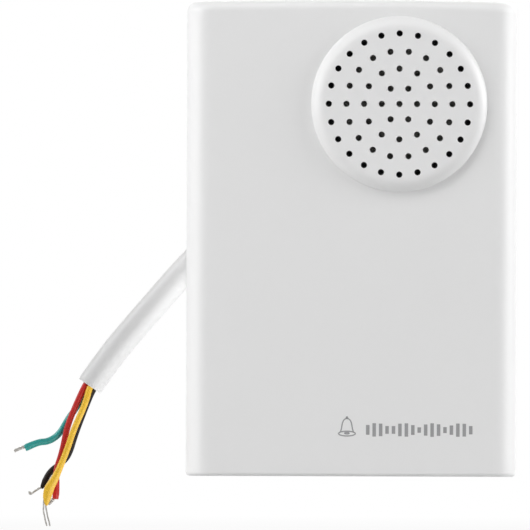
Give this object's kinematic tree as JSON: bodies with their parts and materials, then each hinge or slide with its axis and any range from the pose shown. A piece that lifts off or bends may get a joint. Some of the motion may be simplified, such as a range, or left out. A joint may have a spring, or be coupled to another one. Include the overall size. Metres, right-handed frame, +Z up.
{
  "type": "doorbell",
  "caption": "Wired door chime: upright rounded box with a round raised speaker grille, wall keyholes behind, and a short cable with stripped cores.",
  "frame": {"origin": "middle of the flat back face, on the wall's surface", "axes": "+Y into the wall, so the front faces -Y; +Z up along the box's height; +X to the right of someone facing the front"},
  "size_m": [0.1216, 0.0278, 0.1283],
  "materials": {
    "white_housing": "satin white moulded ABS with a very fine texture",
    "zinc_steel": "bright zinc-plated steel",
    "black_steel": "blackened pressed steel",
    "ferrite": "dull dark grey ferrite",
    "cone_paper": "pale grey pressed paper",
    "surround_cloth": "dark impregnated cloth",
    "spider_cloth": "amber phenolic cloth",
    "foam": "black foam",
    "copper": "bare bright copper",
    "tinned_copper": "tinned copper strands, grey with a little copper showing",
    "tin_solder": "bright solder",
    "board_green": "green solder mask over glass cloth",
    "terminal_brown": "brown phenolic board",
    "epoxy_black": "matt black moulded epoxy",
    "can_sleeve": "dark blue sleeve on an aluminium can",
    "resistor_beige": "beige lacquer with colour bands",
    "jacket_white": "white soft PVC",
    "pvc_red": "red soft PVC",
    "pvc_yellow": "yellow soft PVC",
    "pvc_teal": "teal soft PVC",
    "pvc_black": "black soft PVC",
    "nylon": "natural white nylon"
  },
  "bodies": {
    "housing": {"front_cover": "white_housing", "rear_cover": "white_housing", "housing_screws": "zinc_steel", "clamp_screws": "zinc_steel", "clamp_washers": "zinc_steel", "speaker_gasket": "foam", "speaker_frame": "black_steel", "speaker_surround": "surround_cloth", "spider": "spider_cloth", "top_plate": "zinc_steel", "magnet": "ferrite", "yoke": "zinc_steel", "terminal_board": "terminal_brown", "terminal_lugs": "tin_solder", "circuit_board": "board_green", "board_screws": "zinc_steel", "chime_chip": "epoxy_black", "transistors": "epoxy_black", "capacitors": "can_sleeve", "resistors": "resistor_beige", "diode": "epoxy_black", "solder_joints": "tin_solder", "cable_jacket": "jacket_white", "core_red": "pvc_red", "core_yellow": "pvc_yellow", "core_teal": "pvc_teal", "core_black": "pvc_black", "copper_ends": "tinned_copper", "cable_tie": "nylon", "speaker_leads": "pvc_red"},
    "diaphragm": {"speaker_cone": "cone_paper", "dust_cap": "cone_paper", "voice_coil": "copper"}
  },
  "joints": [
    {"name": "cone_travel", "type": "slide", "parent": "housing", "child": "diaphragm", "axis": [0, -1, 0], "range_m": [-0.0005, 0.0005], "stiffness_N_per_m": 400, "deforming": ["speaker_surround", "spider"]}
  ]
}
